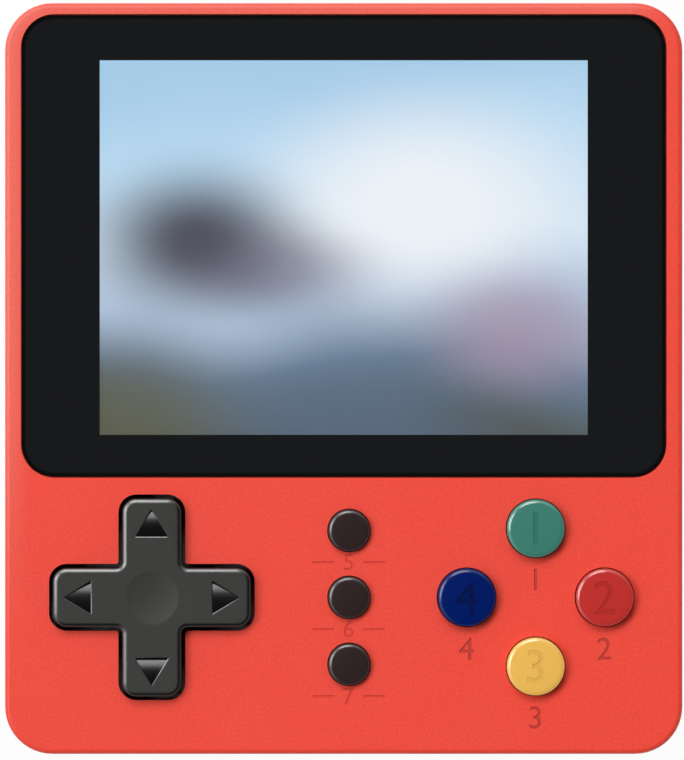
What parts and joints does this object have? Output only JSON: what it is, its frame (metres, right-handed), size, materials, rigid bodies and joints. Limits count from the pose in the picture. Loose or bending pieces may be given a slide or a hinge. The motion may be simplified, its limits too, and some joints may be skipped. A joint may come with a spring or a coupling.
{
  "type": "handheld game console",
  "caption": "Pocket game console: rounded two-piece case, flush colour screen, rocking direction pad, domed push buttons, thumbwheel, slide switch and sliding battery door.",
  "frame": {"origin": "middle of the back, on the plane that the console lies on", "axes": "+X to the player's right, +Y to the top edge of the face, +Z out of the screen"},
  "size_m": [0.083, 0.092, 0.0209],
  "materials": {
    "shell_red": "fine matte moulded texture",
    "lens_clear": "clear hard-coated sheet",
    "print_black": "screen-printed border",
    "tape_grey": "double-sided adhesive",
    "foam_black": "closed-cell foam",
    "display_glass": "lit display panel",
    "light_guide": "diffuse white",
    "tray_steel": "thin pressed sheet",
    "flex_amber": "flexible printed circuit",
    "pad_grey": "satin moulded",
    "pivot_steel": "polished ball",
    "post_ivory": "moulded",
    "silicone_grey": "soft moulded silicone",
    "key_green": "gloss moulded",
    "key_blue": "gloss moulded",
    "key_red": "gloss moulded",
    "key_yellow": "gloss moulded",
    "menu_dark": "satin moulded",
    "carbon": "conductive rubber",
    "gilt_copper": "thin plated copper",
    "board_green": "solder-masked laminate",
    "resin_black": "epoxy moulding",
    "can_aluminium": "drawn can",
    "speaker_metal": "pressed basket",
    "cone_paper": "treated paper",
    "magnet_dark": "ferrite",
    "wire_red": "insulated lead",
    "battery_grey": "wrapped cell",
    "socket_black": "moulded housing",
    "socket_steel": "folded sheet",
    "control_dark": "knurled moulding",
    "screw_steel": "cross-headed screw"
  },
  "bodies": {
    "console": {"front_shell": "shell_red", "rear_shell": "shell_red", "screen_lens": "lens_clear", "lens_mask": "print_black", "lens_tape": "tape_grey", "lcd_gasket": "foam_black", "lcd_glass": "display_glass", "lcd_backlight": "light_guide", "lcd_frame": "tray_steel", "lcd_foam": "foam_black", "lcd_flex": "flex_amber", "dpad_post": "post_ivory", "dpad_membrane": "silicone_grey", "face_membrane": "silicone_grey", "menu_membrane": "silicone_grey", "contact_pills": "carbon", "contact_pads": "gilt_copper", "main_board": "board_green", "processor": "resin_black", "memory_chip": "resin_black", "crystal": "can_aluminium", "capacitors": "can_aluminium", "speaker_gasket": "foam_black", "speaker_cone": "cone_paper", "speaker_basket": "speaker_metal", "speaker_magnet": "magnet_dark", "speaker_wires": "wire_red", "battery": "battery_grey", "battery_terminals": "gilt_copper", "contact_block": "socket_black", "contact_springs": "gilt_copper", "av_jack": "socket_black", "usb_socket": "socket_steel", "usb_tongue": "socket_black", "volume_pot": "control_dark", "power_switch": "socket_steel", "case_screws": "screw_steel", "board_screws": "screw_steel"},
    "dpad_pivot": {"dpad_ball": "pivot_steel"},
    "dpad_cross": {"dpad": "pad_grey"},
    "green_key": {"green_button": "key_green"},
    "blue_key": {"blue_button": "key_blue"},
    "red_key": {"red_button": "key_red"},
    "yellow_key": {"yellow_button": "key_yellow"},
    "reset_key": {"reset_button": "menu_dark"},
    "select_key": {"select_button": "menu_dark"},
    "start_key": {"start_button": "menu_dark"},
    "volume_thumbwheel": {"volume_wheel": "control_dark"},
    "power_slider": {"power_knob": "control_dark"},
    "door": {"battery_door": "shell_red"}
  },
  "joints": [
    {"name": "dpad_tilt_up_down", "type": "hinge", "parent": "console", "child": "dpad_pivot", "pos_m": [-0.0235, -0.0268, 0.01745], "axis": [1, 0, 0], "range_deg": [-4, 4], "stiffness_Nm_per_rad": 0.05, "deforming": ["dpad_membrane"]},
    {"name": "dpad_tilt_left_right", "type": "hinge", "parent": "dpad_pivot", "child": "dpad_cross", "pos_m": [-0.0235, -0.0268, 0.01745], "axis": [0, 1, 0], "range_deg": [-4, 4], "stiffness_Nm_per_rad": 0.05, "deforming": ["dpad_membrane"]},
    {"name": "green_press", "type": "slide", "parent": "console", "child": "green_key", "axis": [0, 0, -1], "range_m": [0, 0.0011], "stiffness_N_per_m": 400, "deforming": ["face_membrane"]},
    {"name": "blue_press", "type": "slide", "parent": "console", "child": "blue_key", "axis": [0, 0, -1], "range_m": [0, 0.0011], "stiffness_N_per_m": 400, "deforming": ["face_membrane"]},
    {"name": "red_press", "type": "slide", "parent": "console", "child": "red_key", "axis": [0, 0, -1], "range_m": [0, 0.0011], "stiffness_N_per_m": 400, "deforming": ["face_membrane"]},
    {"name": "yellow_press", "type": "slide", "parent": "console", "child": "yellow_key", "axis": [0, 0, -1], "range_m": [0, 0.0011], "stiffness_N_per_m": 400, "deforming": ["face_membrane"]},
    {"name": "reset_press", "type": "slide", "parent": "console", "child": "reset_key", "axis": [0, 0, -1], "range_m": [0, 0.0008], "stiffness_N_per_m": 400, "deforming": ["menu_membrane"]},
    {"name": "select_press", "type": "slide", "parent": "console", "child": "select_key", "axis": [0, 0, -1], "range_m": [0, 0.0008], "stiffness_N_per_m": 400, "deforming": ["menu_membrane"]},
    {"name": "start_press", "type": "slide", "parent": "console", "child": "start_key", "axis": [0, 0, -1], "range_m": [0, 0.0008], "stiffness_N_per_m": 400, "deforming": ["menu_membrane"]},
    {"name": "volume_turn", "type": "hinge", "parent": "console", "child": "volume_thumbwheel", "pos_m": [-0.03495, 0.014, 0.0073], "axis": [0, 0, 1], "range_deg": [-135, 135]},
    {"name": "power_slide", "type": "slide", "parent": "console", "child": "power_slider", "axis": [0, 1, 0], "range_m": [0, 0.0025]},
    {"name": "door_slide", "type": "slide", "parent": "console", "child": "door", "axis": [0, -1, 0], "range_m": [0, 0.049]}
  ]
}
